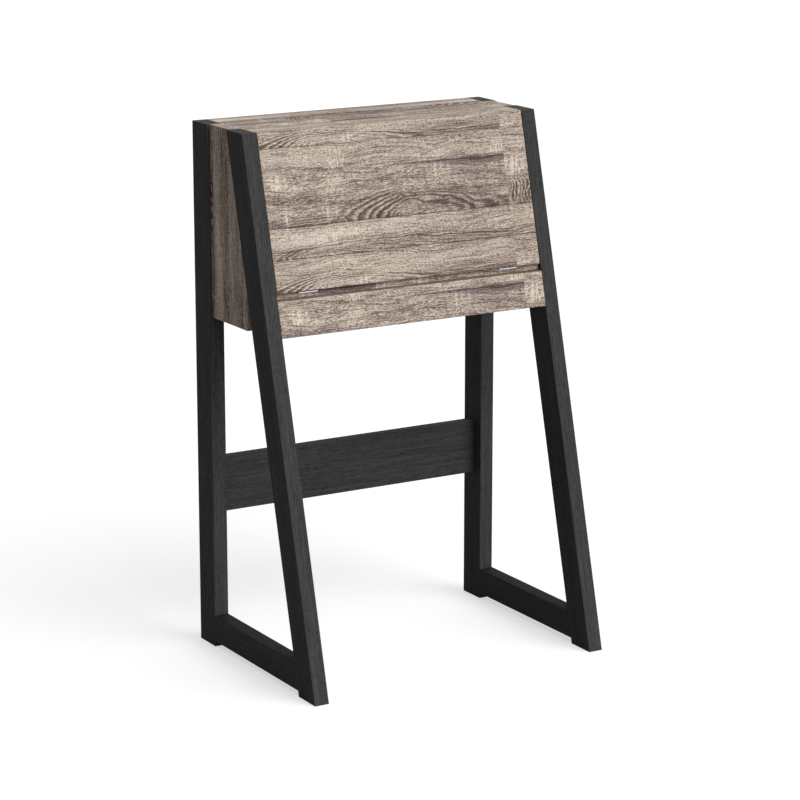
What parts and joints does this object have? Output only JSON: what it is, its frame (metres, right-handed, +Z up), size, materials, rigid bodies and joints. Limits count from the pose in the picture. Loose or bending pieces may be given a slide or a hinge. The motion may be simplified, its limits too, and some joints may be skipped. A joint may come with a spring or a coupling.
{
  "type": "drop-front writing desk",
  "caption": "Narrow writing desk on leaning black side frames, with a shallow oak-grain cabinet whose hinged front drops on slotted stays to make a level writing surface.",
  "frame": {"origin": "on the floor, in the middle of the desk's width and depth", "axes": "+Z up, +X to the right of someone facing the flap, +Y from the front to the back"},
  "size_m": [0.647, 0.4699, 1.04],
  "materials": {
    "black_laminate": "black wood-grain laminate on board, matt",
    "oak_laminate": "grey-brown sawn-oak laminate on board, matt",
    "bright_steel": "bright zinc-plated steel",
    "cast_zinc": "die-cast zinc",
    "beech": "bare beech"
  },
  "bodies": {
    "frame": {"left_rear_post": "black_laminate", "left_front_leg": "black_laminate", "left_floor_rail": "black_laminate", "left_side_panel": "oak_laminate", "left_hinge_board_leaf": "bright_steel", "left_hinge_pin": "bright_steel", "left_stay_stud": "bright_steel", "right_rear_post": "black_laminate", "right_front_leg": "black_laminate", "right_floor_rail": "black_laminate", "right_side_panel": "oak_laminate", "right_hinge_board_leaf": "bright_steel", "right_hinge_pin": "bright_steel", "right_stay_stud": "bright_steel", "back_rail": "black_laminate", "top_panel": "oak_laminate", "desk_board": "oak_laminate", "apron": "oak_laminate", "back_panel": "oak_laminate", "cam_locks": "cast_zinc", "cam_bolts": "bright_steel", "hinge_board_screws": "bright_steel", "dowels": "beech"},
    "flap": {"flap": "oak_laminate", "left_hinge_flap_leaf": "bright_steel", "right_hinge_flap_leaf": "bright_steel", "hinge_flap_screws": "bright_steel", "left_stay_bracket": "bright_steel", "right_stay_bracket": "bright_steel", "left_stay_rivet": "bright_steel", "right_stay_rivet": "bright_steel", "stay_bracket_screws": "bright_steel"},
    "left_stay": {"left_stay_arm": "bright_steel"},
    "right_stay": {"right_stay_arm": "bright_steel"}
  },
  "joints": [
    {"name": "flap_drop", "type": "hinge", "parent": "frame", "child": "flap", "pos_m": [0, -0.03524, 0.7431], "axis": [1, 0, 0], "range_deg": [0, 104.33]},
    {"name": "left_stay_swing", "type": "hinge", "parent": "flap", "child": "left_stay", "pos_m": [-0.2907, 0.00303, 0.84685], "axis": [1, 0, 0], "range_deg": [-52.2, 0]},
    {"name": "right_stay_swing", "type": "hinge", "parent": "flap", "child": "right_stay", "pos_m": [0.2907, 0.00303, 0.84685], "axis": [1, 0, 0], "range_deg": [-52.2, 0]}
  ],
  "couplings": [
    {"joint": "left_stay_swing", "follows": "flap_drop", "ratio": -0.5},
    {"joint": "right_stay_swing", "follows": "flap_drop", "ratio": -0.5}
  ]
}
